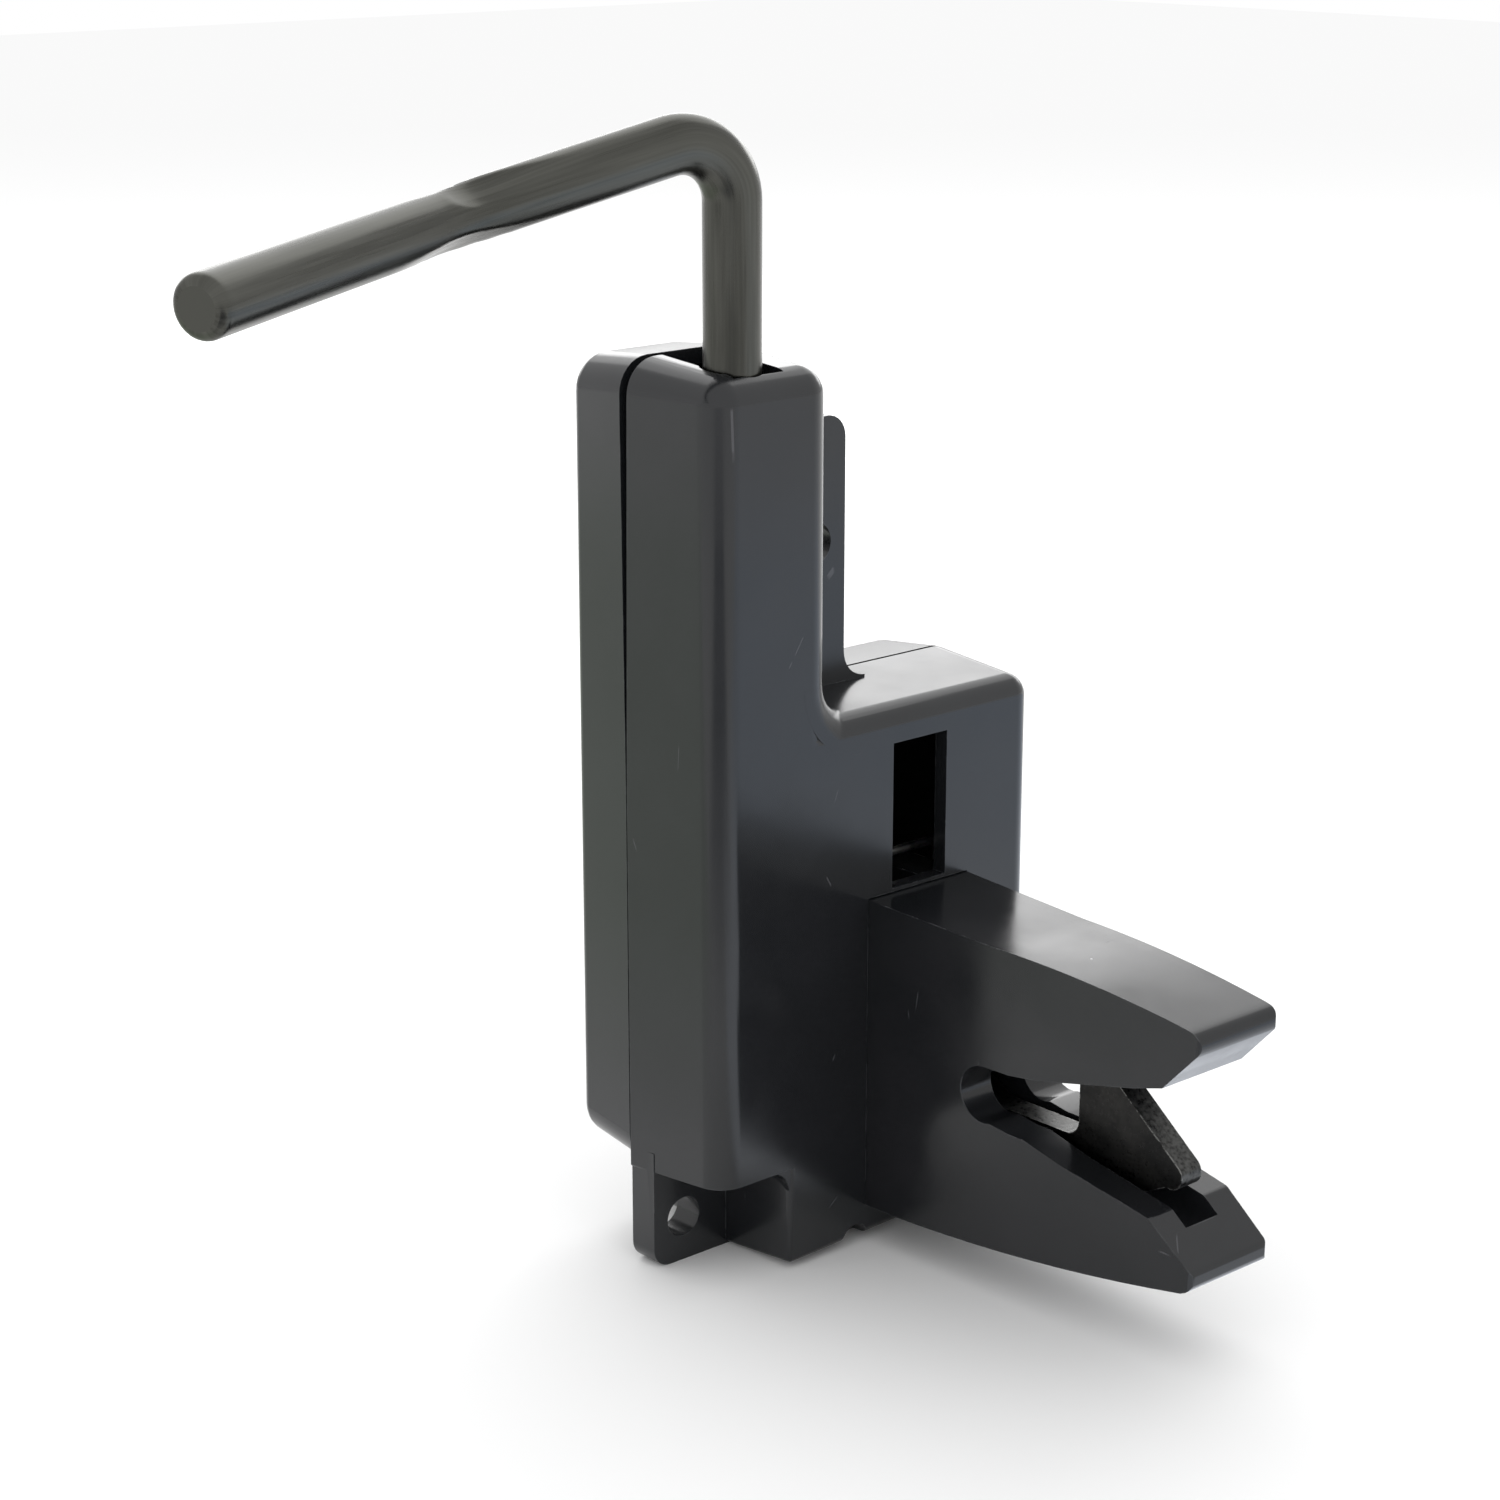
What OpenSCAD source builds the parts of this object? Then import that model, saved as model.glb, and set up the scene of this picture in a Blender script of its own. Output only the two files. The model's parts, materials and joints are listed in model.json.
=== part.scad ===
// Stair gate latch: a moulded two-part housing with a forked jaw block, a sprung hook pawl
// across its mouth, and a bent rod handle whose foot pushes the pawl's upper arm.
// Origin: centre of the lower mounting hole on the mounting plane (the seam of the two shells).
// +X runs from the handle tower to the shoulder, -Y points out along the jaws, +Z is up.

/* [Housing] */
// Width of the handle tower at the seam
tower_w = 28.3; // [26:0.1:32]
// Height of the tower above the plinth's foot
tower_h = 157; // [150:1:165]
// Height of the tower's underside, beside the plinth
tower_foot_z = 17.4; // [15:0.1:20]
// Left side of the plinth
plinth_x = 16.2; // [15:0.1:18]
// Right side of the body
body_w = 76.2; // [74:0.1:80]
// Height of the body's shoulder
body_h = 97.5; // [95:0.5:100]
// Depth of the front shell, seam to front face
front_d = 21.4; // [20.5:0.1:22]
// Depth of the rear cover
rear_d = 15; // [14:0.5:17]
// Thickness of the moulded walls
wall = 2.8; // [2.4:0.1:3]
// Thickness of the tower's top wall
top_wall = 4; // [3:0.5:5]
// Radius of the corners seen from the front
corner_r = 6; // [4:0.5:7]
// Radius of the edges round the front face
edge_r = 5; // [3:0.5:5.5]
// Lean of the front shell's sides per millimetre of depth
front_draft = 0.06; // [0:0.01:0.08]
// Lean of the rear cover's sides per millimetre of depth
rear_draft = 0.08; // [0:0.01:0.1]
// How far each shell stands back from the seam at the tower's top
seam_gape = 1.05; // [0:0.05:1.2]

/* [Mounting ears] */
// Thickness of the ears
ear_t = 5.75; // [4:0.25:6]
// Radius of the mounting holes
ear_hole_r = 3.55; // [3:0.05:3.6]
// Lower hole, across from the tower's left side
low_hole_x = 6.9; // [6.5:0.1:8]
// Lower hole, up from the plinth's foot
low_hole_z = 8; // [7:0.1:9]
// Distance across between the two holes
hole_span_x = 30.1; // [29:0.1:30.5]
// Distance up between the two holes
hole_span_z = 114.3; // [110:0.1:116]
// Right side of the upper ear
ear_right = 43.8; // [43:0.1:45]
// Top of the upper ear
ear_top = 143.8; // [140:0.1:146]

/* [Jaw block] */
// Middle plane of the jaws, pawl and front slot
jaw_x = 47.2; // [46.5:0.1:48]
// Width of the jaw block where it leaves the housing
jaw_root_w = 23.6; // [22:0.1:24]
// Width of the jaws at their noses
jaw_nose_w = 18.8; // [17:0.1:20]
// Reach of the noses from the seam
jaw_reach = 93.4; // [90:0.1:96]
// Height of the root's underside
root_bottom = 6.9; // [6.5:0.1:8]
// Height of the root's top
root_top = 63.3; // [62:0.1:63.5]
// Width of the pawl's slot in the jaws
jaw_slot_w = 7.8; // [7.4:0.1:8]
// Front end of the pawl's slot in the lower jaw
slot_front = 87.4; // [86.5:0.1:88]

/* [Pawl] */
// Thickness of the pawl plate
pawl_t = 4.8; // [4:0.1:5]
// Pivot, back from the seam
pivot_y = -8; // [-8.5:0.1:-7.5]
// Pivot height
pivot_z = 49; // [48.5:0.1:49.5]
// Radius of the pivot pin
pin_r = 3.175; // [3:0.005:3.2]

/* [Handle] */
// Radius of the handle rod
rod_r = 4.76; // [4.7:0.01:4.8]
// Rod axis across from the tower's left side
rod_x = 11.6; // [11.4:0.1:12]
// Rod axis in front of the seam
rod_y = -13.5; // [-13.6:0.1:-13.4]
// Height of the grip over the rod axis
grip_z = 194; // [190:0.5:198]
// Length of the grip's inner part
grip_inner = 49.2; // [45:0.1:55]
// Length of the grip's outer part
grip_outer = 62.9; // [55:0.1:70]
// Height of the foot that pushes the pawl
foot_z = 84; // [83.5:0.1:84.5]
// Length of the foot from the rod axis
foot_len = 44; // [43.5:0.5:45]
// Angle of the foot behind the +X direction
foot_angle = 23.5; // [23.4:0.1:23.6]

/* [Hidden] */
$fn = 64;
running = 0.05;       // radial clearance of a turning fit
seat = 0.02;          // radial clearance of a fixed fit
front_in = front_d - wall;
slot_w = 12.7;        // tall slot over the jaws
slot_bottom = 64;
slot_top = 89.8;
flange_t = 3;
flange_w = 36.6;
flange_y = -front_in + flange_t;
jaw_screw_x = 15;   // jaw screws either side of the middle plane
jaw_screw_z = [14, 56];
cover_screws = [[8.5, 25], [69.4, 9], [69, 89.5], [21.6, 107], [7.5, 66]];
screw_r = 2;
boss_r = 3.8;
head_r = 3.6;
head_t = 2.4;
head_seat = rear_d - 3.2;
jaw_screw_r = 1.75;
jaw_boss_r = 2.6;
jaw_head_r = 3.1;
guide_z = [100, 134]; // undersides of the two rod guides
guide_t = 3;
rib_under_foot = 3;
rib_root = 0.3;       // how far ribs and bosses are rooted in the wall
gape_z = 85;          // height where the seam starts to open
bend_lap = 0.3;       // how far a bend runs into the straight beside it
bend_thin = 0.01;     // how much thinner the rod is drawn round a bend
spring_r = 0.75;
coil_r = 4.6;
coil_turns = 3;
coil_pitch = 1.65;
coil_x = 60.3;
leg_z = 66.8;
clip_t = 0.8;
clip_x = [34.2, 67.4];
ear_low_r = 3.5;
ear_up_r = 4;
flare_r = 5;
under_r = 4;
hub_r = 8.5;
sharp_r = 0.6;
nose_r = 1;
tip_r = 2.4;
ear_inset = 0.3;      // meets the lean of the tower's side
rear_edge_r = 2.4;

shell_colour = [0.10, 0.11, 0.13];
rod_colour = [0.20, 0.20, 0.17];
steel_colour = [0.35, 0.35, 0.36];

function arc(c, r, a0, a1, n = 8) =
    [for (i = [0:n]) c + r * [cos(a0 + (a1 - a0) * i / n), sin(a0 + (a1 - a0) * i / n)]];
function unit(v) = v / norm(v);
function axes(p, x, y, z) =
    [[x[0], y[0], z[0], p[0]], [x[1], y[1], z[1], p[1]], [x[2], y[2], z[2], p[2]], [0, 0, 0, 1]];

// A solid skinned over rings of points, each ring turning left about the way the rings follow.
module skinned(rings) {
    sides = len(rings[0]);
    last = len(rings) - 1;
    sheet = [for (i = [0:last - 1], k = [0:sides - 1])
        let (a = i * sides, b = a + sides, n = (k + 1) % sides)
            each [[a + k, b + k, b + n], [a + k, b + n, a + n]]];
    polyhedron([for (ring = rings) each ring], concat(
        [[for (k = [0:sides - 1]) k]],
        sheet,
        [[for (k = [sides - 1:-1:0]) last * sides + k]]));
}
// Moves the shells' own corner frame to the part's origin.
module placed() { translate([-low_hole_x, 0, -low_hole_z]) children(); }
// An outline drawn as [y, z], given a thickness from x0 to x1.
module plate_x(x0, x1) {
    translate([x0, 0, 0]) rotate([90, 0, 90]) linear_extrude(x1 - x0) children();
}
// An outline drawn as [x, z], given a thickness from y0 to y1.
module plate_y(y0, y1) {
    translate([0, y1, 0]) rotate([90, 0, 0]) linear_extrude(y1 - y0) children();
}
// A round bar along Y, from y0 to y1.
module bar_y(x, z, r, y0, y1) {
    translate([x, y1, z]) rotate([90, 0, 0]) cylinder(h = y1 - y0, r = r);
}
// A round bar along X, from x0 to x1.
module bar_x(y, z, r, x0, x1) {
    translate([x0, y, z]) rotate([0, 90, 0]) cylinder(h = x1 - x0, r = r);
}
// A drafted block of the front shell: edge is the radius round its front face, and left_foot the
// radius at the lower left end of that edge.
module front_block(x0, x1, z0, z1, top_r, edge, left_foot, round_foot) {
    inset = front_draft * front_d;
    hull() {
        for (x = [x0 + top_r, x1 - top_r])
            translate([x, -0.1, z1 - top_r]) rotate([90, 0, 0])
                cylinder(h = 0.2, r = top_r, center = true, $fn = 48);
        for (x = [x0 + sharp_r, x1 - sharp_r])
            translate([x, -0.1, z0 + sharp_r]) rotate([90, 0, 0])
                cylinder(h = 0.2, r = sharp_r, center = true, $fn = 32);
        for (x = [x0 + inset + edge, x1 - inset - edge])
            translate([x, edge - front_d, z1 - inset - edge]) sphere(edge, $fn = 32);
        for (e = [[x0 + inset + left_foot, left_foot], [x1 - inset - edge, edge]])
            if (round_foot)
                translate([e[0], e[1] - front_d, z0 + inset + e[1]]) sphere(e[1], $fn = 32);
            else
                translate([e[0], e[1] - front_d, z0 + inset]) cylinder(h = 1, r = e[1], $fn = 32);
    }
}

// Concave blend where the tower meets the shoulder, with the front edge rolled round it.
module shoulder_blend() {
    lean = front_draft * front_d;
    translate([tower_w + flare_r, 0, body_h + flare_r]) rotate([90, 0, 0])
        rotate([0, 0, 180]) rotate_extrude(angle = 90)
            polygon(concat(
                [[flare_r, 0], [flare_r + 8, 0], [flare_r + 8, front_d]],
                arc([flare_r + lean + edge_r, front_d - edge_r], edge_r, 90, 180)));
}
// Concave blend where the tower's underside meets the plinth's left side.
module plinth_blend() {
    lean = front_draft * front_d;
    corner = [plinth_x + lean, tower_foot_z + lean];
    plate_y(0.3 - front_d, -1)
        polygon(concat(
            arc(corner - [under_r, under_r], under_r, 0, 90),
            [corner + [-under_r, 2], corner + [2, 2], corner + [2, -under_r]]));
}
module lower_ear() {
    plate_y(-ear_t, 0)
        polygon(concat(
            [[ear_inset, tower_foot_z + 4], [plinth_x + 4, tower_foot_z + 4], [plinth_x + 4, 0]],
            arc([ear_low_r + ear_inset, ear_low_r], ear_low_r, 270, 180)));
}
module upper_ear() {
    plate_y(-ear_t, 0)
        polygon(concat(
            [[tower_w - 4, body_h - 4], [tower_w - 4, ear_top]],
            arc([ear_right - ear_up_r, ear_top - ear_up_r], ear_up_r, 90, 0),
            arc([ear_right + flare_r, body_h + flare_r], flare_r, 180, 270),
            [[ear_right + flare_r, body_h - 4]]));
}
module shell_outside() {
    front_block(0, tower_w, tower_foot_z, tower_h, corner_r, edge_r, edge_r, false);
    front_block(plinth_x, body_w, 0, body_h, edge_r, edge_r - 1, sharp_r, true);
    shoulder_blend();
    plinth_blend();
    lower_ear();
    upper_ear();
}
module shell_hollow() {
    translate([wall, -front_in, tower_foot_z + wall])
        cube([tower_w - 2 * wall, front_in + 1, tower_h - tower_foot_z - wall - top_wall]);
    translate([plinth_x + wall, -front_in, wall])
        cube([body_w - plinth_x - 2 * wall, front_in + 1, body_h - 2 * wall]);
}
module rod_guides() {
    for (z = guide_z)
        translate([wall - rib_root, -front_in - rib_root, z])
            cube([tower_w - 2 * wall + 2 * rib_root, front_in + rib_root - seam_gape, guide_t]);
    translate([wall - rib_root, -front_in - rib_root, foot_z - rod_r - 0.3 - rib_under_foot])
        cube([tower_w - wall, front_in - 2, rib_under_foot]);
}
module rod_passage() {
    for (z = guide_z) {
        translate([rod_x, rod_y, z - 1]) cylinder(h = guide_t + 2, r = rod_r + running);
        translate([rod_x - rod_r - running, rod_y, z - 1])
            cube([2 * (rod_r + running), 30, guide_t + 2]);
    }
    translate([rod_x, rod_y, tower_h - top_wall - 1]) cylinder(h = 10, r = rod_r + 0.6);
    translate([rod_x - 4.1, -front_in + 0.1, tower_h - top_wall - 1]) cube([10.6, front_in + 1, 10]);
}
module front_shell() {
    color(shell_colour) placed() difference() {
        union() {
            difference() { shell_outside(); shell_hollow(); }
            rod_guides();
            for (p = cover_screws) bar_y(p[0], p[1], boss_r, -front_in - rib_root, 0);
            for (x = [-1, 1], z = jaw_screw_z)
                bar_y(jaw_x + x * jaw_screw_x, z, jaw_boss_r, -front_in - rib_root, flange_y - 0.2);
        }
        rod_passage();
        // tall slot over the jaws, and the jaw block's window
        translate([jaw_x - slot_w / 2, -front_d - 1, slot_bottom])
            cube([slot_w, wall + 2, slot_top - slot_bottom]);
        translate([jaw_x - jaw_root_w / 2 - 0.05, -front_d - 1, root_bottom - 0.05])
            cube([jaw_root_w + 0.1, wall + 2, root_top - root_bottom + 0.1]);
        // drain notch in the front wall's foot
        bar_y(32.9, 0.8, 3.1, -front_d - 1, -front_in + 1);
        for (p = cover_screws) bar_y(p[0], p[1], screw_r + seat, -13, 1);
        for (x = [-1, 1], z = jaw_screw_z)
            bar_y(jaw_x + x * jaw_screw_x, z, jaw_screw_r + seat, -front_in - 1.4, 0);
        bar_y(low_hole_x, low_hole_z, ear_hole_r, -ear_t - 1, 1);
        bar_y(low_hole_x + hole_span_x, low_hole_z + hole_span_z, ear_hole_r, -ear_t - 1, 1);
        // the seam opens towards the tower's top
        plate_x(-1, tower_w)
            polygon([[0, gape_z], [1, gape_z], [1, tower_h + 1], [-seam_gape, tower_h + 1]]);
    }
}

// One drafted block of the rear cover, with its rear edge rounded.
module rear_block(x0, x1, z0, z1, depth, top_r, foot_r) {
    layers = [for (a = [90:-18:0])
        [depth - rear_edge_r * (1 - sin(a)), rear_edge_r * (1 - cos(a))]];
    skinned([for (layer = concat(layers, [[0, 0]]))
        let (e = layer[1], t = layer[1] + rear_draft * layer[0])
            [for (p = concat(
                arc([x1 - t - top_r + e, z1 - t - top_r + e], top_r - e, 0, 90),
                arc([x0 + t + top_r - e, z1 - t - top_r + e], top_r - e, 90, 180),
                arc([x0 + t + foot_r - e, z0 + t + foot_r - e], foot_r - e, 180, 270),
                arc([x1 - t - foot_r + e, z0 + t + foot_r - e], foot_r - e, 270, 360)))
                [p[0], layer[0], p[1]]]]);
}
module rear_cover() {
    color(shell_colour) placed() difference() {
        union() {
            difference() {
                union() {
                    rear_block(0, tower_w, tower_foot_z, tower_h, rear_d - 0.05, corner_r, corner_r);
                    rear_block(plinth_x, body_w, 0, body_h, rear_d, edge_r, 3);
                }
                translate([wall, -1, tower_foot_z + wall])
                    cube([tower_w - 2 * wall, rear_d - wall + 1, tower_h - tower_foot_z - 2 * wall]);
                translate([plinth_x + wall, -1, wall])
                    cube([body_w - plinth_x - 2 * wall, rear_d - wall + 1, body_h - 2 * wall]);
                plate_x(-1, tower_w + 1)
                    polygon([[0, gape_z], [seam_gape, tower_h + 1], [-1, tower_h + 1], [-1, gape_z]]);
            }
            for (p = cover_screws) bar_y(p[0], p[1], boss_r + 0.5, 0, rear_d - 1);
            // fingers that close the rod guides
            for (z = guide_z)
                translate([rod_x - rod_r + 0.15, rod_y, z])
                    cube([2 * rod_r - 0.3, rear_d - 1 - rod_y, guide_t]);
        }
        for (z = guide_z)
            translate([rod_x, rod_y, z - 1]) cylinder(h = guide_t + 2, r = rod_r + running);
        for (p = cover_screws) {
            bar_y(p[0], p[1], screw_r + 0.15, -1, rear_d);
            bar_y(p[0], p[1], head_r + 0.3, head_seat, rear_d + 1);
        }
    }
}

// Side outline of both jaws with the mouth between them, as [y, z].
module jaw_outline() {
    polygon(concat(
        [[-front_in + 1, root_top]],
        arc([-50, -208], root_top + 206.7, 90, 98.6, 10),
        arc([tip_r - jaw_reach, 56.4], tip_r, 98, 228, 10),
        [[-86.2, 47.8], [-80, 46], [-60, 41.4], [-54, 40.6]],
        arc([-48.3, 35.5], 5, 90, -110, 14),
        [[-54, 30.2], [-57.5, 30.2], [-65.8, 28.2]],
        arc([-83.4, 22.9], 2.2, 100, 135, 4),
        arc([tip_r - 0.2 - jaw_reach, 16.8], tip_r, 135, 252, 9),
        arc([-15, root_bottom + 389.8], 390, 258.7, 268, 10),
        [[-front_in + 1, root_bottom]]));
}
// Space the pawl swings in, as [y, z].
module slot_outline() {
    polygon([
        [-slot_front, -5], [-slot_front, 34], [-79, 34], [-79, 49.5], [-60.4, 49.5], [-60.4, 36],
        [-44, 36], [-38, 40], [-22, 59], [-18, 70], [5, 70], [5, root_bottom + 0.1],
        [-front_d, root_bottom + 0.1], [-front_d - 0.5, -5]]);
}
module jaw_block() {
    half = jaw_slot_w / 2;
    color(shell_colour) placed() difference() {
        union() {
            intersection() {
                plate_x(jaw_x - 30, jaw_x + 30) jaw_outline();
                translate([jaw_x, 0, 0]) linear_extrude(100)
                    polygon(concat(
                        [[-jaw_root_w / 2, -front_in + 2], [-jaw_root_w / 2, -front_d]],
                        arc([nose_r - jaw_nose_w / 2, nose_r - jaw_reach - 0.1], nose_r, 180, 270, 6),
                        arc([jaw_nose_w / 2 - nose_r, nose_r - jaw_reach - 0.1], nose_r, 270, 360, 6),
                        [[jaw_root_w / 2, -front_d], [jaw_root_w / 2, -front_in + 2]]));
            }
            // flange against the front wall, and the two cheeks that carry the pivot
            translate([jaw_x - flange_w / 2, -front_in, 4])
                cube([flange_w, flange_t, root_top - 4]);
            translate([jaw_x - jaw_root_w / 2, -front_in, root_bottom])
                cube([jaw_root_w, front_in - 1.4, root_top - root_bottom]);
        }
        plate_x(jaw_x - half, jaw_x + half) slot_outline();
        bar_x(pivot_y, pivot_z, pin_r + seat, jaw_x - 20, jaw_x + 20);
        for (x = [-1, 1], z = jaw_screw_z)
            bar_y(jaw_x + x * jaw_screw_x, z, jaw_boss_r + 0.1, -front_d, 0);
    }
}

// Hook, hub and upper arm of the pawl, as [y, z].
module pawl_outline() {
    polygon(concat(
        [[-8.6, 88], [-4.4, 88], [-4.4, 55], [-1, 47], [-8.5, 26], [-22, 14.6], [-40, 15.6],
            [-60, 19.6], [-77.4, 25.2]],
        // tooth: nose, ramp, tip and the foot of its rear face
        arc([-82.5, 29.6], 2.4, 290, 135, 8),
        arc([-64.3, 44.4], 2, 135, 0, 6),
        arc([-59.5, 32.8], 2.8, 180, 270, 5),
        [[-42.5, 30], [-15, 45], [-15, 51], [-11.7, 58], [-11.7, 80]]));
}
module pawl() {
    color(steel_colour) placed() difference() {
        union() {
            plate_x(jaw_x - pawl_t / 2, jaw_x + pawl_t / 2) pawl_outline();
            bar_x(pivot_y, pivot_z, hub_r, jaw_x - pawl_t / 2 + 0.02, jaw_x + pawl_t / 2 - 0.02);
        }
        bar_x(pivot_y, pivot_z, pin_r + running, jaw_x - 5, jaw_x + 5);
    }
}

module pawl_pivot_pin() {
    color(steel_colour) placed() difference() {
        bar_x(pivot_y, pivot_z, pin_r, clip_x[0] - 1, clip_x[1] + clip_t + 1);
        for (x = clip_x)
            difference() {
                bar_x(pivot_y, pivot_z, pin_r + 1, x - 0.05, x + clip_t + 0.05);
                bar_x(pivot_y, pivot_z, pin_r - 0.6, x - 1, x + clip_t + 1);
            }
    }
}
module retaining_clip(x) {
    color(steel_colour) placed() difference() {
        bar_x(pivot_y, pivot_z, 5.4, x, x + clip_t);
        bar_x(pivot_y, pivot_z, pin_r - 0.6 + seat, x - 1, x + clip_t + 1);
        translate([x - 1, pivot_y - 1.9, pivot_z]) cube([clip_t + 2, 3.8, 8]);
    }
}
module pawl_spacer(x) {
    color(steel_colour) placed() difference() {
        bar_x(pivot_y, pivot_z, 6.5, x, x + 1.4);
        bar_x(pivot_y, pivot_z, pin_r + seat, x - 1, x + 2.4);
    }
}

// Torsion spring: hooked leg over the pawl's arm, coil round the pin, leg down to the flange.
function spring_path() = concat(
    [for (x = [jaw_x - 3, coil_x - 6, coil_x - 2]) [x, pivot_y - coil_r, leg_z]],
    [for (a = [30:30:90]) [coil_x - 2 + 2 * sin(a), pivot_y - coil_r, leg_z - 2 + 2 * cos(a)]],
    [[coil_x, pivot_y - coil_r, pivot_z + 6]],
    [for (a = [0:18:360 * coil_turns])
        [coil_x + coil_pitch * a / 360, pivot_y - coil_r * cos(a), pivot_z - coil_r * sin(a)]],
    [for (s = [5, 17]) [coil_x + coil_pitch * coil_turns, pivot_y - coil_r - 0.12 * s, pivot_z - s]]);
// A round wire of radius r along a list of points.
module wire(path, r, sides = 10) {
    last = len(path) - 1;
    skinned([for (i = [0:last])
        let (along = unit(path[min(i + 1, last)] - path[max(i - 1, 0)]),
            u = unit(cross(along, [1, 1, 1])), v = cross(along, u))
            [for (k = [0:sides - 1]) path[i] + r * (u * cos(360 * k / sides) + v * sin(360 * k / sides))]]);
}
module pawl_spring() { color(steel_colour) placed() wire(spring_path(), spring_r); }

// One straight length of the rod between two points.
module rod_length(a, b) {
    z = unit(b - a);
    x = unit(cross(z, [0.3, 0.9, 0.2]));
    multmatrix(axes(a, x, cross(z, x), z)) cylinder(h = norm(b - a), r = rod_r);
}
// One bend of the rod at corner p, from direction u to direction v; its ends run into the straights.
module rod_bend(p, u, v, bend_r) {
    turn = acos(u * v);
    lap = asin(bend_lap / bend_r);
    inward = unit(v - u * (u * v));
    start = p - u * bend_r * tan(turn / 2);
    multmatrix(axes(start + inward * bend_r, -inward, u, cross(-inward, u)))
        rotate([0, 0, -lap]) rotate_extrude(angle = turn + 2 * lap)
            translate([bend_r, 0]) circle(rod_r - bend_thin);
}
module handle_rod() {
    up = [0, 0, 1];
    foot_dir = [cos(foot_angle), sin(foot_angle), 0];
    inner_dir = [-cos(12) * cos(13.5), sin(12) * cos(13.5), -sin(13.5)];
    outer_dir = [-cos(20) * cos(5.2), -sin(20) * cos(5.2), -sin(5.2)];
    low = [rod_x, rod_y, foot_z];
    high = [rod_x, rod_y, grip_z];
    elbow = high + inner_dir * grip_inner;
    tip = elbow + outer_dir * grip_outer;
    foot_bend = 9;
    grip_bend = 9.2;
    elbow_bend = 24;
    cut_high = grip_bend * tan(acos(up * inner_dir) / 2);
    cut_elbow = elbow_bend * tan(acos(inner_dir * outer_dir) / 2);
    chamfer = 1.1;
    color(rod_colour) placed() union() {
        rod_length(low + foot_dir * foot_len, low + foot_dir * foot_bend);
        rod_bend(low, -foot_dir, up, foot_bend);
        rod_length(low + up * foot_bend, high - up * cut_high);
        rod_bend(high, up, inner_dir, grip_bend);
        rod_length(high + inner_dir * cut_high, elbow - inner_dir * cut_elbow);
        rod_bend(elbow, inner_dir, outer_dir, elbow_bend);
        rod_length(elbow + outer_dir * cut_elbow, tip - outer_dir * chamfer);
        x = unit(cross(outer_dir, up));
        multmatrix(axes(tip - outer_dir * chamfer, x, cross(outer_dir, x), outer_dir))
            rotate_extrude() polygon([
                [0, -bend_lap], [rod_r - bend_thin, -bend_lap], [rod_r - bend_thin, 0.1],
                [rod_r - chamfer, chamfer], [0, chamfer]]);
    }
}

// A cross-recess screw along Y with its head towards the rear.
module screw(x, z, y_seat, y_tip, shank_r, big_r, thick) {
    color(steel_colour) placed() difference() {
        union() {
            bar_y(x, z, big_r, y_seat, y_seat + thick);
            bar_y(x, z, shank_r, y_tip, y_seat + 1);
        }
        for (a = [0, 90])
            translate([x, y_seat + thick, z]) rotate([0, a, 0])
                cube([big_r * 1.1, thick, 0.9], center = true);
    }
}
module cover_screw(i) {
    screw(cover_screws[i][0], cover_screws[i][1], head_seat, -12, screw_r, head_r, head_t);
}
module jaw_screw(i) {
    side = i % 2 == 0 ? -1 : 1;
    screw(jaw_x + side * jaw_screw_x, jaw_screw_z[floor(i / 2)], flange_y, -front_in - 1.2,
        jaw_screw_r, jaw_head_r, 1.9);
}

front_shell();
rear_cover();
jaw_block();
pawl();
pawl_pivot_pin();
retaining_clip(clip_x[0]);  // pivot_clip_left
retaining_clip(clip_x[1]);  // pivot_clip_right
pawl_spacer(jaw_x - pawl_t / 2 - 1.45);  // pawl_spacer_left
pawl_spacer(jaw_x + pawl_t / 2 + 0.05);  // pawl_spacer_right
pawl_spring();
handle_rod();
for (i = [0:4])
    cover_screw(i);
for (i = [0:3])
    jaw_screw(i);
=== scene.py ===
"""A stair gate latch: moulded housing, forked jaw, hook pawl and rod handle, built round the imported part."""

import json
import math

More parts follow.
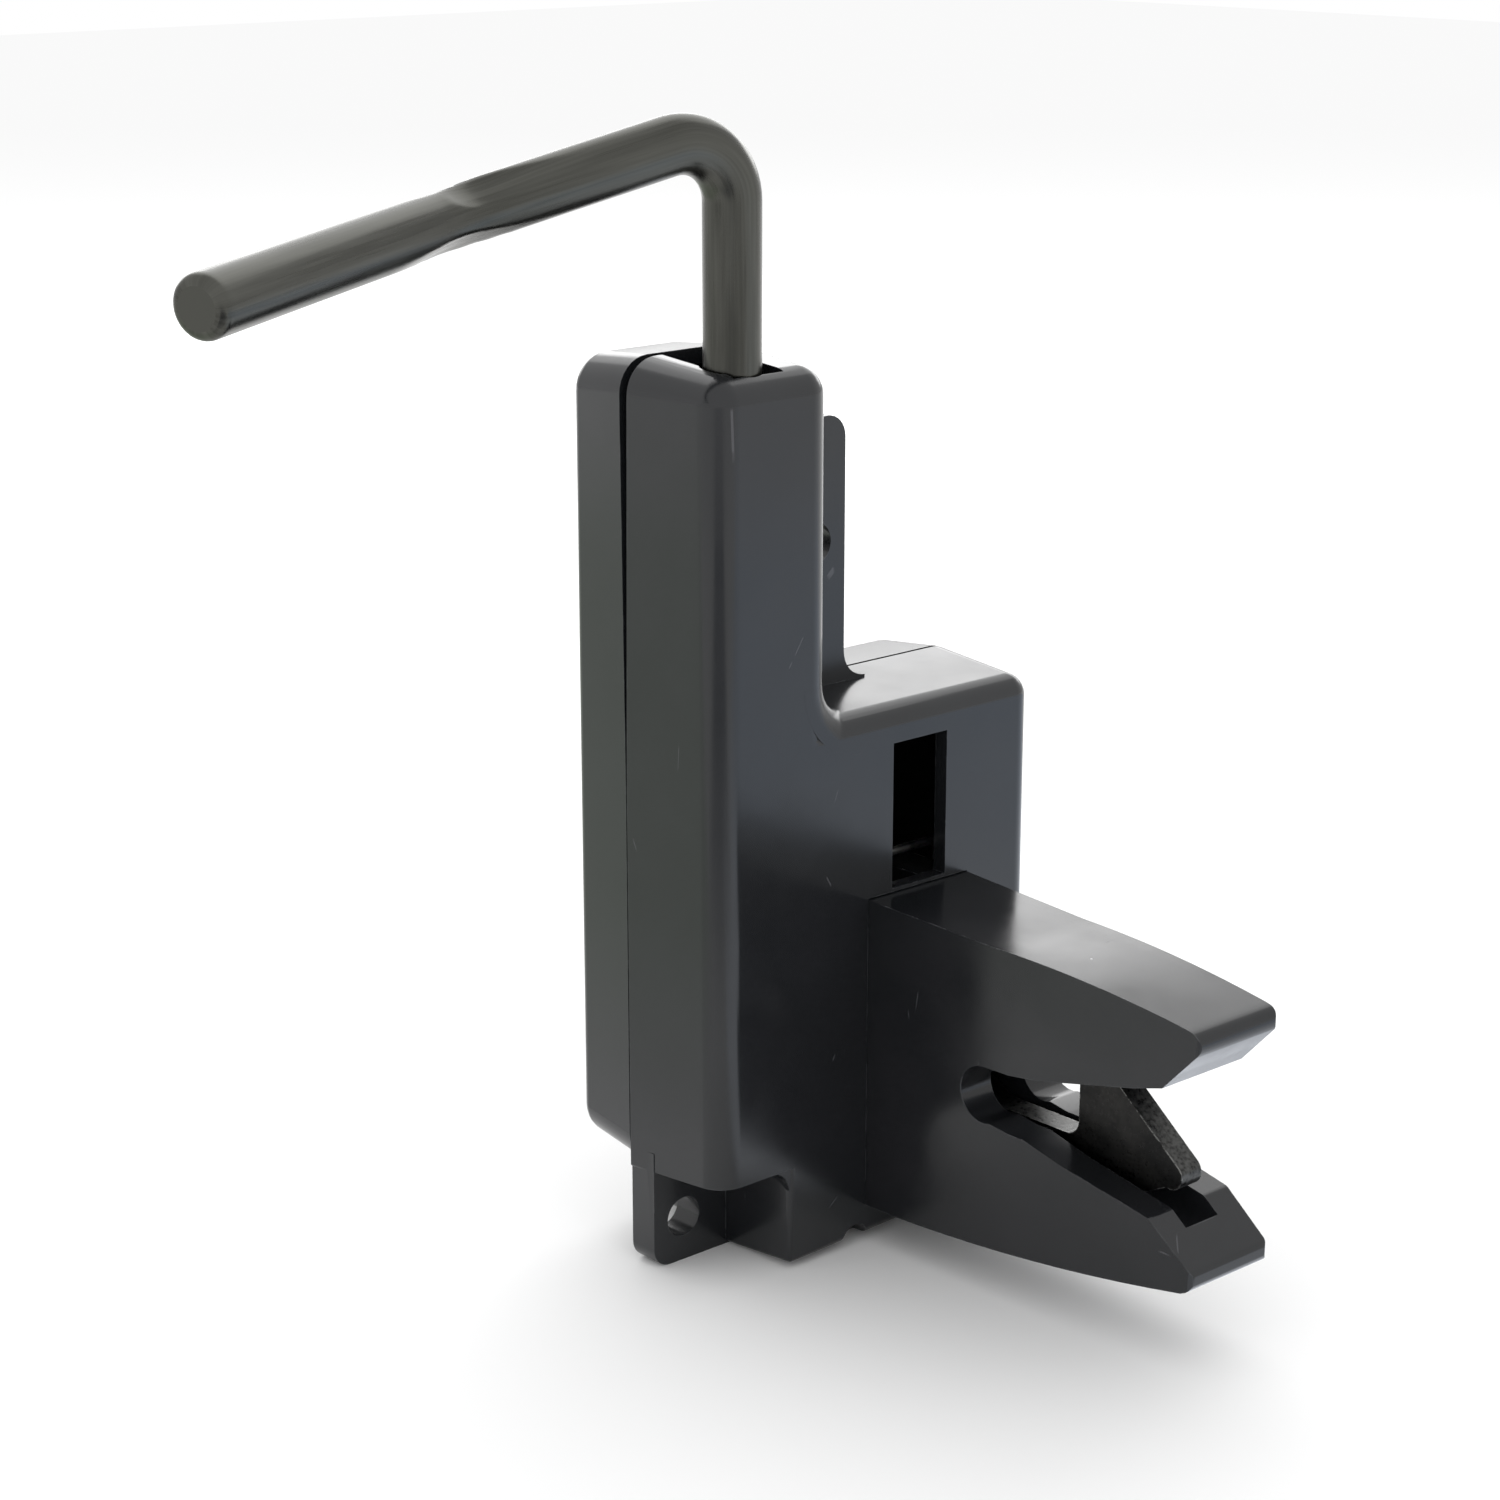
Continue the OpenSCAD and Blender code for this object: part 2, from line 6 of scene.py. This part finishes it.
import bmesh
import bpy
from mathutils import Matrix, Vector
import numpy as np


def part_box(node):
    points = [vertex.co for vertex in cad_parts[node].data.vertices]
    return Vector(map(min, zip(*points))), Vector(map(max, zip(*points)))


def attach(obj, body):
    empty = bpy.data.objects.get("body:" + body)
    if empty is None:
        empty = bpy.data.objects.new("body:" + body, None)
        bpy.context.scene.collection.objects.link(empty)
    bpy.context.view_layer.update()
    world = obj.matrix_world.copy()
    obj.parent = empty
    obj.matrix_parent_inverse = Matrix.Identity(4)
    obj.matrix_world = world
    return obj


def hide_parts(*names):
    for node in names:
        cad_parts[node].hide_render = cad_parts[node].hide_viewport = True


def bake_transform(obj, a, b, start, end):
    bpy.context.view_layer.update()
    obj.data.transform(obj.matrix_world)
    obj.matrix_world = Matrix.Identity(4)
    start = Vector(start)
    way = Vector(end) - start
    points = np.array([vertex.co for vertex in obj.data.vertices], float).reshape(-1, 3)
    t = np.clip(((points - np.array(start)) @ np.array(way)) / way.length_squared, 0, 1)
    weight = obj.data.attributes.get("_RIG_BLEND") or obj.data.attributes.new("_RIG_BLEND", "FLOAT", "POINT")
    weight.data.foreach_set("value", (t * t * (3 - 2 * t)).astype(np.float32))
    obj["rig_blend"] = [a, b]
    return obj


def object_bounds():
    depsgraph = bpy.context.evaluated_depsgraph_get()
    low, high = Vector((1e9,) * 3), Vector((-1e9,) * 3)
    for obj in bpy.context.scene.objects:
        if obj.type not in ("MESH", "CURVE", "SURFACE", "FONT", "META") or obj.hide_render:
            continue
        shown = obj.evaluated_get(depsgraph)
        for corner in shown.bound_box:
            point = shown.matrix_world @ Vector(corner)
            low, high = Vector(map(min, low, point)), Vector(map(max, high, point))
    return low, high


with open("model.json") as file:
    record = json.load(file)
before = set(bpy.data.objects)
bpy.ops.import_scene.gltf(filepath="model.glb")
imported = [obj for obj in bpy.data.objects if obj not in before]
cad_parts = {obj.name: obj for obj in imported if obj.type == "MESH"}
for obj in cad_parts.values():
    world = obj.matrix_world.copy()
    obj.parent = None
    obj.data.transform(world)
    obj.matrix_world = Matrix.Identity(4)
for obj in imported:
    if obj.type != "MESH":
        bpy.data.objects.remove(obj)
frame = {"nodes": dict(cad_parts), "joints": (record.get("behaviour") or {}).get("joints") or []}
cad_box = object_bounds()
MM = 0.001

# The handle's form, in millimetres and radians, as the part has it.
ROD_R = 4.76
FOOT_ANGLE = math.radians(23.5)
FOOT_LENGTH = 44
INNER_GRIP = (math.radians(12), math.radians(13.5))
OUTER_GRIP = (math.radians(-20), math.radians(5.2))
INNER_LENGTH = 49.2
OUTER_LENGTH = 62.9
FOOT_BEND = 9
GRIP_BEND = 9.2
ELBOW_BEND = 24
# height of the bar's top over the corner where the grip's line meets the upright's
GRIP_CROWN = 2.27
TIP_ROUND = 1.6
ROUND_STEPS = 6
ROD_SIDES = 48
ROD_STEP = 1.2

# The pressed flats round the elbow: which way each one faces, how far along the bar it lies and how deep.
PRESS_SPREAD = 11.0
PRESSED = ((Vector((-0.45, -0.62, 0.64)).normalized(), -3.0, 1.15),
           (Vector((0.1, -0.55, -0.83)).normalized(), 4.0, 0.9),
           (Vector((0.2, 0.35, 0.92)).normalized(), 3.0, 0.8))

# The joint line of the shells: how far the cover's rim is drawn back in millimetres, elsewhere and on the
# shoulder's top. That lies past x = TOWER_SIDE and between two heights, all in metres.
SEAM = 0.22
SHOULDER_SEAM = 0.7
TOWER_SIDE = 0.021
SHOULDER = (0.086, 0.1)

# Edge rounding of the moulded shells and the pawl, and of the jaw block, in millimetres.
SHELL_EASE = 0.35
JAW_EASE = 0.6

# The return spring's coil and wire, in millimetres.
WIRE_R = 0.75
COIL_SPAN = 5.7

# The studio: its directions on the floor, to the right and away from the front; the floor's brightness as
# reflections see it; the cards' height over the floor in millimetres; and the middle that the lights face.
ACROSS = Vector((0.748, -0.664, 0))
BEHIND = Vector((0.664, 0.748, 0))
FLOOR_WHITE = (1.02, 1.02, 1.02)
CARD_LIFT = 0.4
STUDIO_MIDDLE = Vector((0.02, -0.03, 0.07))

# The camera: place in metres, viewing direction, and lens and sensor in millimetres.
CAMERA_PLACE = (-0.3337, -0.3990, 0.2327)
CAMERA_FORWARD = Vector((0.63776, 0.71853, -0.27746))
CAMERA_LENS = 77.84
CAMERA_SENSOR = 36


# ---------------------------------------------------------------- material building

class Look:
    """A material under construction; coordinates are the part's own, in millimetres."""

    def __init__(self, name, colour, roughness, metallic=0.0, ior=1.5):
        self.material = bpy.data.materials.new(name)
        self.material.use_nodes = True
        self.nodes = self.material.node_tree.nodes
        self.links = self.material.node_tree.links
        self.shader = self.nodes["Principled BSDF"]
        self.shader.inputs["Base Color"].default_value = (*colour, 1)
        self.shader.inputs["Roughness"].default_value = roughness
        self.shader.inputs["Metallic"].default_value = metallic
        self.shader.inputs["IOR"].default_value = ior
        self.place = self.scaled(self.add("ShaderNodeTexCoord").outputs["Object"], (1 / MM,) * 3)

    def add(self, kind, **settings):
        node = self.nodes.new(kind)
        for name, value in settings.items():
            setattr(node, name, value)
        return node

    def put(self, socket, value):
        if isinstance(value, bpy.types.NodeSocket):
            self.links.new(value, socket)
        elif hasattr(value, "__len__") and len(value) == 3 and socket.type == "RGBA":
            socket.default_value = (*value, 1)
        else:
            socket.default_value = value

    def scaled(self, vector, scale):
        node = self.add("ShaderNodeMapping")
        self.put(node.inputs["Vector"], vector)
        node.inputs["Scale"].default_value = scale
        return node.outputs["Vector"]

    def noise(self, size, detail=2.0, where=None, stretch=(1, 1, 1)):
        """Noise whose features are about size millimetres across."""
        node = self.add("ShaderNodeTexNoise")
        self.put(node.inputs["Vector"], self.scaled(where or self.place, stretch))
        node.inputs["Scale"].default_value = 1 / size
        node.inputs["Detail"].default_value = detail
        return node.outputs["Fac"]

    def band(self, value, low, high, to_low=0.0, to_high=1.0):
        node = self.add("ShaderNodeMapRange", clamp=True)
        self.put(node.inputs["Value"], value)
        for name, number in zip(("From Min", "From Max", "To Min", "To Max"), (low, high, to_low, to_high)):
            node.inputs[name].default_value = number
        return node.outputs["Result"]

    def math(self, kind, a, b):
        node = self.add("ShaderNodeMath", operation=kind)
        self.put(node.inputs[0], a)
        self.put(node.inputs[1], b)
        return node.outputs[0]

    def mix(self, factor, a, b):
        node = self.add("ShaderNodeMix", data_type="RGBA")
        self.put(node.inputs["Factor"], factor)
        self.put(node.inputs[6], a)
        self.put(node.inputs[7], b)
        return node.outputs[2]

    def specks(self, spacing, radius, share, where=None):
        """Scattered dots, one in some cells of a cell pattern."""
        node = self.add("ShaderNodeTexVoronoi")
        self.put(node.inputs["Vector"], where or self.place)
        node.inputs["Scale"].default_value = 1 / spacing
        parts = self.add("ShaderNodeSeparateColor")
        self.put(parts.inputs[0], node.outputs["Color"])
        chosen = self.math("LESS_THAN", parts.outputs[0], share)
        edge = radius / spacing
        size = self.math("MULTIPLY", parts.outputs[1], edge)
        dot = self.math("LESS_THAN", node.outputs["Distance"], size)
        return self.math("MULTIPLY", dot, chosen)

    def scratches(self, spacing, width, share, turn):
        """Short straight scratches: thin lines of a stretched cell pattern, broken up by noise."""
        turned = self.add("ShaderNodeMapping")
        self.put(turned.inputs["Vector"], self.place)
        turned.inputs["Rotation"].default_value = turn
        node = self.add("ShaderNodeTexVoronoi", feature="DISTANCE_TO_EDGE")
        self.put(node.inputs["Vector"], self.scaled(turned.outputs["Vector"], (0.15, 1, 0.4)))
        node.inputs["Scale"].default_value = 1 / spacing
        line = self.math("LESS_THAN", node.outputs["Distance"], width / spacing)
        return self.math("MULTIPLY", line, self.band(self.noise(9), 1 - share, 1 - share + 0.03))

    def edges(self, radius):
        """1 close to sharp edges and 0 on flat faces."""
        rounded = self.add("ShaderNodeBevel", samples=6)
        rounded.inputs["Radius"].default_value = radius * MM
        true = self.add("ShaderNodeNewGeometry")
        dot = self.add("ShaderNodeVectorMath", operation="DOT_PRODUCT")
        self.put(dot.inputs[0], rounded.outputs["Normal"])
        self.put(dot.inputs[1], true.outputs["Normal"])
        return self.band(dot.outputs["Value"], 0.995, 0.9)

    def bump(self, height, depth):
        """Bump of that depth in millimetres where height runs from 0 to 1; calls stack up."""
        node = self.add("ShaderNodeBump")
        node.inputs["Strength"].default_value = 1.0
        node.inputs["Distance"].default_value = depth * MM
        self.put(node.inputs["Height"], height)
        normal = self.shader.inputs["Normal"]
        if normal.is_linked:
            self.put(node.inputs["Normal"], normal.links[0].from_socket)
        self.put(normal, node.outputs["Normal"])

    def colour(self, value):
        self.put(self.shader.inputs["Base Color"], value)

    def roughness(self, value):
        self.put(self.shader.inputs["Roughness"], value)


def coated(name, dark, light, gloss, wear, ior=1.5):
    """Black coated metal: faint mottling, fine orange peel, dust specks, hair scratches, worn edges."""
    look = Look(name, dark, gloss, ior=ior)
    paint = look.mix(look.band(look.noise(22, 4), 0.35, 0.65), dark, light)
    worn = look.math("MULTIPLY", look.edges(0.4), look.band(look.noise(4, 5), 0.42, 0.68))
    paint = look.mix(look.math("MULTIPLY", worn, wear), paint, (0.055, 0.058, 0.062))
    scratched = look.scratches(11, 0.035, 0.34, (0.3, 0.8, 0.5))
    paint = look.mix(look.math("MULTIPLY", scratched, 0.5), paint, (0.10, 0.10, 0.11))
    paint = look.mix(look.specks(9, 0.26, 0.3), paint, (0.42, 0.43, 0.44))
    look.colour(paint)
    cloudy = look.band(look.noise(14, 5), 0.3, 0.7, gloss - 0.05, gloss + 0.06)
    look.roughness(look.math("ADD", cloudy, look.math("MULTIPLY", worn, 0.15)))
    look.bump(look.noise(1.9, 2), 0.0035)
    look.bump(look.noise(0.35, 3), 0.0012)
    look.bump(look.math("SUBTRACT", 1.0, scratched), 0.006)
    return look.material


def blackened_rod():
    """Blackened drawn bar: streaks along its length, rubbed patches, a few pale chips."""
    look = Look("blackened_rod", (0.045, 0.046, 0.041), 0.3, metallic=1.0)
    along = look.add("ShaderNodeUVMap", uv_map="run").outputs["UV"]
    streak = look.noise(1.0, 3, along, (0.022, 0.32, 1))
    fine = look.noise(0.35, 2, along, (0.02, 0.7, 1))
    tone = look.math("ADD", look.math("MULTIPLY", streak, 0.7), look.math("MULTIPLY", fine, 0.3))
    metal = look.mix(look.band(tone, 0.36, 0.64), (0.056, 0.056, 0.050), (0.098, 0.098, 0.088))
    metal = look.mix(look.specks(6, 0.4, 0.16), metal, (0.66, 0.64, 0.60))
    look.colour(metal)
    look.roughness(look.band(tone, 0.35, 0.65, 0.22, 0.36))
    look.bump(streak, 0.02)
    look.bump(fine, 0.003)
    look.bump(look.noise(5, 2), 0.012)
    return look.material


def dark_steel():
    """The pawl's dark forged steel: pitted, speckled and rubbed bright on its edges."""
    look = Look("dark_steel", (0.03, 0.03, 0.03), 0.4, metallic=1.0)
    grain = look.noise(0.7, 5)
    cast = look.mix(look.band(look.noise(5, 4), 0.38, 0.64), (0.022, 0.022, 0.022), (0.037, 0.036, 0.035))
    rough_face = look.mix(look.band(grain, 0.36, 0.64), (0.034, 0.034, 0.033), (0.085, 0.085, 0.082))
    # the plate's cut edge faces are rougher and brighter than its rolled sides
    facing = look.add("ShaderNodeSeparateXYZ")
    look.put(facing.inputs[0], look.add("ShaderNodeNewGeometry").outputs["Normal"])
    edgewise = look.band(look.math("ABSOLUTE", facing.outputs["X"], 0.0), 0.75, 0.35)
    metal = look.mix(edgewise, cast, rough_face)
    metal = look.mix(look.math("MULTIPLY", look.edges(0.4), look.band(look.noise(1.1, 4), 0.45, 0.55)),
                     metal, (0.26, 0.26, 0.25))
    metal = look.mix(look.scratches(8, 0.04, 0.4, (0.9, 0.2, 0.1)), metal, (0.10, 0.10, 0.10))
    metal = look.mix(look.specks(3.4, 0.2, 0.3), metal, (0.20, 0.20, 0.19))
    look.colour(metal)
    look.roughness(look.band(grain, 0.35, 0.65, 0.26, 0.42))
    look.bump(look.math("MULTIPLY", grain, edgewise), 0.03)
    look.bump(look.noise(1.6, 3), 0.006)
    return look.material


def plain_steel():
    """Zinc-plated hardware: pins, clips, spacers, spring and screws."""
    look = Look("plated_steel", (0.5, 0.5, 0.5), 0.3, metallic=1.0)
    cloud = look.noise(2.5, 4)
    look.colour(look.mix(look.band(cloud, 0.35, 0.65), (0.38, 0.38, 0.37), (0.58, 0.58, 0.57)))
    look.roughness(look.band(cloud, 0.3, 0.7, 0.24, 0.4))
    look.bump(look.noise(0.4, 3), 0.003)
    return look.material


# ---------------------------------------------------------------- pieces

def eased(node, name, material, width, body, seam=0.0):
    """A copy of a CAD node with its sharp edges rounded by width millimetres; it stands for the node.
    seam draws the rim on the plane between the shells back by that much, so the joint line shows."""
    mesh = frame["nodes"][node].data.copy()
    mesh.materials.clear()
    mesh.materials.append(material)
    bm = bmesh.new()
    bm.from_mesh(mesh)
    bmesh.ops.remove_doubles(bm, verts=bm.verts, dist=0.004 * MM)
    bmesh.ops.dissolve_limit(bm, angle_limit=math.radians(0.6), verts=bm.verts, edges=bm.edges)
    for vertex in bm.verts:
        if abs(vertex.co.y) < seam * MM:
            on_shoulder = vertex.co.x > TOWER_SIDE and SHOULDER[0] < vertex.co.z < SHOULDER[1]
            gap = SHOULDER_SEAM if on_shoulder else seam
            vertex.co.y = gap * MM
    bm.to_mesh(mesh)
    bm.free()
    for custom in [a for a in mesh.attributes if a.name == "custom_normal"]:
        mesh.attributes.remove(custom)
    mesh.polygons.foreach_set("use_smooth", [True] * len(mesh.polygons))
    piece = bpy.data.objects.new(name, mesh)
    bpy.context.scene.collection.objects.link(piece)
    bevel = piece.modifiers.new("eased", "BEVEL")
    bevel.width = width * MM
    bevel.segments = 3
    bevel.limit_method = "ANGLE"
    bevel.angle_limit = math.radians(34)
    bevel.miter_outer = "MITER_ARC"
    bevel.harden_normals = False
    weigh = piece.modifiers.new("faces", "WEIGHTED_NORMAL")
    weigh.keep_sharp = True
    weigh.weight = 80
    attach(piece, body)
    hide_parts(node)


def rod_route():
    """The handle's centre line in millimetres, from the foot's end to the grip's tip, and its elbow point.
    The rod's axis and heights come from the joint and the CAD node."""
    joint = next(j for j in frame["joints"] if j["name"] == "handle_turn")
    low, high = (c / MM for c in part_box("handle_rod"))
    axis = Vector(joint["pos_m"]) / MM
    foot = Vector((axis.x, axis.y, low.z + ROD_R))
    top = Vector((axis.x, axis.y, high.z - GRIP_CROWN))
    foot_dir = Vector((math.cos(FOOT_ANGLE), math.sin(FOOT_ANGLE), 0))
    elbow = top + grip_direction(*INNER_GRIP) * INNER_LENGTH
    tip = elbow + grip_direction(*OUTER_GRIP) * OUTER_LENGTH
    corners = [foot + foot_dir * FOOT_LENGTH, foot, top, elbow, tip]
    bends = [0, FOOT_BEND, GRIP_BEND, ELBOW_BEND, 0]
    line = []
    for i, (corner, bend) in enumerate(zip(corners, bends)):
        if bend == 0:
            line.append(corner)
            continue
        u = (corner - corners[i - 1]).normalized()
        v = (corners[i + 1] - corner).normalized()
        turn = u.angle(v)
        cut = bend * math.tan(turn / 2)
        inward = (v - u * u.dot(v)).normalized()
        centre = corner - u * cut + inward * bend
        steps = max(6, int(turn / math.radians(6)))
        for k in range(steps + 1):
            a = turn * k / steps
            line.append(centre + bend * (u * math.sin(a) - inward * math.cos(a)))
    return line, elbow


def grip_direction(plan, droop):
    """Direction of a grip length from its angle in plan and its fall."""
    return Vector((-math.cos(plan) * math.cos(droop), math.sin(plan) * math.cos(droop), -math.sin(droop)))


def filled_in(line, step):
    """The same line with points no further than step apart."""
    out = [line[0]]
    for a, b in zip(line, line[1:]):
        count = max(1, math.ceil((b - a).length / step))
        out += [a.lerp(b, k / count) for k in range(1, count + 1)]
    return out


def rounded_end(point, inwards, mark, sign):
    """A rounded end from the full bar out to its flat face: centre, distance along, share of the radius."""
    stations = []
    for k in range(ROUND_STEPS + 1):
        a = math.radians(90 * k / ROUND_STEPS)
        inset = TIP_ROUND * (1 - math.sin(a))
        share = 1 - TIP_ROUND / ROD_R * (1 - math.cos(a))
        stations.append((point + inwards * inset, mark + sign * inset, share))
    return stations


def rod_reach(out, station, scale):
    """Distance from the centre line to the surface in direction out, at a station measured from the elbow."""
    reach = ROD_R * scale
    for flat, shift, depth in PRESSED:
        near = math.exp(-((station - shift) / PRESS_SPREAD) ** 2)
        facing = out.dot(flat)
        if facing > 0:
            reach -= max(0.0, reach * facing - (ROD_R - depth * near)) / max(facing, 0.5)
    return reach


def handle():
    """The rod swept along its route, with rounded ends and the pressed flats round its elbow."""
    line, elbow = rod_route()
    line = filled_in(line, ROD_STEP)
    runs = [0.0]
    for a, b in zip(line, line[1:]):
        runs.append(runs[-1] + (b - a).length)
    total = runs[-1]
    straight = [(point, run, 1.0) for point, run in zip(line, runs) if TIP_ROUND < run < total - TIP_ROUND]
    head = rounded_end(line[0], (line[1] - line[0]).normalized(), 0, 1)
    tail = rounded_end(line[-1], (line[-2] - line[-1]).normalized(), total, -1)
    stations = head[::-1] + straight + tail

    bm = bmesh.new()
    uv = bm.loops.layers.uv.new("run")
    side = Vector((0.3, 0.9, 0.2))
    rings = []
    for i, (point, _, scale) in enumerate(stations):
        before = stations[max(i - 1, 0)][0]
        after = stations[min(i + 1, len(stations) - 1)][0]
        along = (after - before).normalized()
        side = (side - along * side.dot(along)).normalized()
        up = along.cross(side)
        from_elbow = (point - elbow).dot(along)
        ring = []
        for k in range(ROD_SIDES):
            a = math.tau * k / ROD_SIDES
            out = side * math.cos(a) + up * math.sin(a)
            ring.append(bm.verts.new((point + out * rod_reach(out, from_elbow, scale)) * MM))
        rings.append(ring)

    # UV in millimetres: along the bar and round it
    for i in range(len(rings) - 1):
        start, stop = stations[i][1], stations[i + 1][1]
        for k in range(ROD_SIDES):
            n = (k + 1) % ROD_SIDES
            face = bm.faces.new((rings[i][k], rings[i][n], rings[i + 1][n], rings[i + 1][k]))
            face.smooth = True
            corners = ((start, k), (start, k + 1), (stop, k + 1), (stop, k))
            for loop, (run, turn) in zip(face.loops, corners):
                loop[uv].uv = (run, turn / ROD_SIDES * math.tau * ROD_R)
    bm.faces.new(rings[0][::-1])
    bm.faces.new(rings[-1])
    bmesh.ops.recalc_face_normals(bm, faces=bm.faces)
    mesh = bpy.data.meshes.new("handle_bar")
    bm.to_mesh(mesh)
    bm.free()
    mesh.materials.append(rod_metal)
    piece = bpy.data.objects.new("handle_bar", mesh)
    bpy.context.scene.collection.objects.link(piece)
    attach(piece, "handle")
    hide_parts("handle_rod")


def return_spring():
    """The torsion spring: its hooked leg goes with the pawl, its other leg stays on the housing."""
    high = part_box("pawl_spring")[1]
    mesh = frame["nodes"]["pawl_spring"].data.copy()
    mesh.materials.clear()
    mesh.materials.append(hardware)
    piece = bpy.data.objects.new("return_spring", mesh)
    bpy.context.scene.collection.objects.link(piece)
    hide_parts("pawl_spring")
    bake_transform(piece, "pawl_body", "housing",
             start=(high.x - COIL_SPAN * MM, 0, 0), end=(high.x - 2 * WIRE_R * MM, 0, 0))


shell_paint = coated("housing_black", (0.0095, 0.0105, 0.012), (0.0125, 0.0135, 0.0155), 0.2, 0.7)
jaw_paint = coated("jaw_black", (0.0090, 0.0100, 0.0115), (0.0135, 0.0140, 0.0160), 0.19, 1.0, ior=1.44)
rod_metal = blackened_rod()
pawl_steel = dark_steel()
hardware = plain_steel()

eased("front_shell", "front_shell_moulding", shell_paint, SHELL_EASE, "housing")
eased("rear_cover", "rear_cover_moulding", shell_paint, SHELL_EASE, "housing", seam=SEAM)
eased("jaw_block", "jaw_block_moulding", jaw_paint, JAW_EASE, "housing")
eased("pawl", "pawl_forging", pawl_steel, SHELL_EASE, "pawl_body")
handle()
return_spring()

for name, piece in frame["nodes"].items():
    piece.data.materials.clear()
    piece.data.materials.append(hardware)


# ---------------------------------------------------------------- stage, light and camera

def floor_material():
    look = Look("studio_floor", (0.95, 0.95, 0.95), 0.9)
    look.shader.inputs["Specular IOR Level"].default_value = 0
    return look.material


def stage():
    low, high = cad_box
    middle = ((low[0] + high[0]) / 2, (low[1] + high[1]) / 2, low[2])
    bpy.ops.mesh.primitive_plane_add(size=6, location=middle)
    floor = bpy.context.object
    floor.name = "floor"
    floor.data.materials.append(floor_material())


def card(name, centre, size, facing, start, end, colour, near=FLOOR_WHITE):
    """A studio card lying just over the floor that only reflections see. It fades from near to its colour
    between start and end, millimetres along facing."""
    look = Look(name, (0, 0, 0), 1.0)
    dot = look.add("ShaderNodeVectorMath", operation="DOT_PRODUCT")
    look.put(dot.inputs[0], look.scaled(look.add("ShaderNodeNewGeometry").outputs["Position"], (1 / MM,) * 3))
    dot.inputs[1].default_value = facing
    tone = look.mix(look.band(dot.outputs["Value"], start, end), near, colour)
    glow = look.add("ShaderNodeEmission")
    look.put(glow.inputs["Color"], tone)
    look.put(look.nodes["Material Output"].inputs["Surface"], glow.outputs[0])
    height = cad_box[0][2] + CARD_LIFT * MM
    bpy.ops.mesh.primitive_plane_add(size=1, location=(centre.x, centre.y, height))
    piece = bpy.context.object
    piece.name = name
    piece.scale = (size[0], size[1], 1)
    piece.rotation_euler = (0, 0, math.atan2(ACROSS.y, ACROSS.x))
    piece.data.materials.append(look.material)
    piece.visible_camera = False
    piece.visible_diffuse = False
    piece.visible_shadow = False


def reflector_cards():
    """Greenish card on the left, bluish card on the right and a dark flag in front."""
    card("left_card", ACROSS * -0.36 + BEHIND * 0.13, (0.6, 0.62), -ACROSS, 60, 170, (0.80, 0.87, 0.77))
    card("right_card", ACROSS * 0.36 + BEHIND * -0.02, (0.6, 0.56), ACROSS, 190, 320, (1.0, 1.12, 1.30),
         near=(1.30, 1.36, 1.46))
    card("front_flag", BEHIND * -0.47, (0.34, 0.6), -BEHIND, 130, 330, (0.38, 0.39, 0.42))


def soft_light(name, place, target, width, height, power):
    """A white area light at place that faces target; sizes in metres, power in watts."""
    data = bpy.data.lights.new(name, "AREA")
    data.shape = "RECTANGLE"
    data.size = width
    data.size_y = height
    data.energy = power
    light = bpy.data.objects.new(name, data)
    light.location = place
    light.rotation_euler = (target - place).to_track_quat("-Z", "Y").to_euler()
    bpy.context.scene.collection.objects.link(light)


def camera():
    data = bpy.data.cameras.new("camera")
    data.sensor_width = CAMERA_SENSOR
    data.lens = CAMERA_LENS
    data.clip_start = 0.01
    body = bpy.data.objects.new("camera", data)
    body.location = CAMERA_PLACE
    body.rotation_euler = CAMERA_FORWARD.to_track_quat("-Z", "Y").to_euler()
    bpy.context.scene.collection.objects.link(body)
    bpy.context.scene.camera = body


stage()
reflector_cards()
world = bpy.data.worlds.new("studio")
world.use_nodes = True
world.node_tree.nodes["Background"].inputs["Color"].default_value = (1, 1, 1, 1)
world.node_tree.nodes["Background"].inputs["Strength"].default_value = 1.0
bpy.context.scene.world = world
low_place = STUDIO_MIDDLE + BEHIND * 1.15 + Vector((0, 0, 0.3625))
high_place = STUDIO_MIDDLE + BEHIND * 0.85 + Vector((0, 0, 1.0))
soft_light("low_back", low_place, STUDIO_MIDDLE, 2.2, 0.375, 6.6)
soft_light("high_back", high_place, STUDIO_MIDDLE, 1.6, 0.95, 4.8)
camera()
bpy.context.scene.view_settings.view_transform = "Standard"
bpy.context.scene.view_settings.look = "None"
